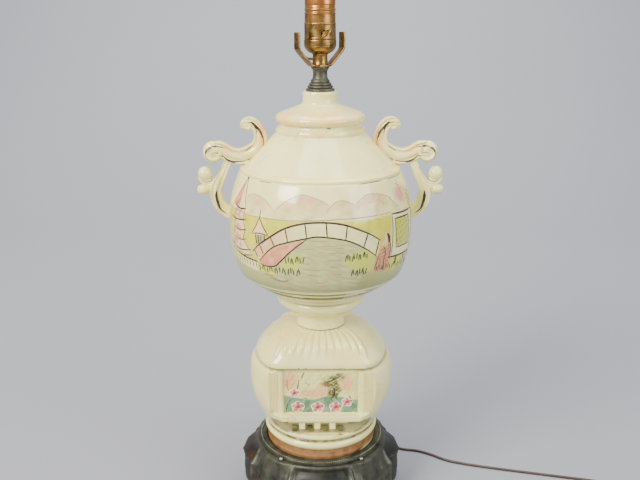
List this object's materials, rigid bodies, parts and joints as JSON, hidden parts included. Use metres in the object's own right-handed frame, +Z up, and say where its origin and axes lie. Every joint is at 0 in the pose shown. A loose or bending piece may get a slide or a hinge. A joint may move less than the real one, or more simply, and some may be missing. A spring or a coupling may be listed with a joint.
{
  "type": "table lamp",
  "caption": "Glazed ceramic urn table lamp with scroll handles on a pavilion-shaped body, cast metal base, bulb socket with turn key, harp saddle and mains cord.",
  "frame": {"origin": "on the table plane under the lamp's axis, in the middle of the lamp without its cord", "axes": "+Z up along the lamp's pipe, +X towards the lamp's right handle as seen from the front, -Y towards the front, where the painted scene and the switch key are"},
  "size_m": [0.5852, 0.3105, 0.617],
  "materials": {
    "cream_glaze": "glossy cream glaze with crackle, painted scene and peach staining",
    "dark_bronze": "cast metal with a dark olive bronze patina",
    "antique_brass": "aged brass, satin",
    "zinc_steel": "dull zinc",
    "aluminium": "rolled thread",
    "green_felt": "felt",
    "card_sleeve": "plain fibre card",
    "phenolic": "moulded phenolic",
    "brown_flex": "dark brown flex",
    "brown_rubber": "dark brown moulding"
  },
  "bodies": {
    "lamp": {"base_casting": "dark_bronze", "beaded_ring": "dark_bronze", "ring_screw_1": "zinc_steel", "ring_screw_2": "zinc_steel", "ring_screw_3": "zinc_steel", "ring_screw_4": "zinc_steel", "foot_pad_1": "green_felt", "foot_pad_2": "green_felt", "foot_pad_3": "green_felt", "foot_pad_4": "green_felt", "base_washer": "zinc_steel", "base_nut": "zinc_steel", "lamp_pipe": "zinc_steel", "base_felt": "green_felt", "urn_felt": "green_felt", "lower_body": "cream_glaze", "urn_body": "cream_glaze", "handle_left": "cream_glaze", "handle_right": "cream_glaze", "neck_spindle": "dark_bronze", "harp_saddle": "antique_brass", "socket_cap": "antique_brass", "cap_set_screw": "zinc_steel", "socket_shell": "antique_brass", "shell_liner": "card_sleeve", "socket_insulator": "phenolic", "terminal_screw_live": "antique_brass", "terminal_screw_neutral": "zinc_steel", "screw_shell": "aluminium", "cord_bushing": "brown_rubber", "cord_inside": "brown_flex", "cord_free": "brown_flex", "cord_coil": "brown_flex", "cord_tie": "brown_rubber", "cord_tail": "brown_flex", "plug_body": "brown_rubber", "plug_blade_left": "antique_brass", "plug_blade_right": "antique_brass"},
    "switch": {"switch_stem": "zinc_steel", "switch_key": "antique_brass"},
    "contact": {"centre_contact": "antique_brass"}
  },
  "joints": [
    {"name": "switch_turn", "type": "hinge", "parent": "lamp", "child": "switch", "pos_m": [0.00581, -0.02329, 0.577], "axis": [0.2419, -0.9703, 0], "continuous": true},
    {"name": "contact_press", "type": "slide", "parent": "lamp", "child": "contact", "axis": [0, 0, -1], "range_m": [0, 0.0015], "stiffness_N_per_m": 1500, "springref_m": -0.0008}
  ]
}
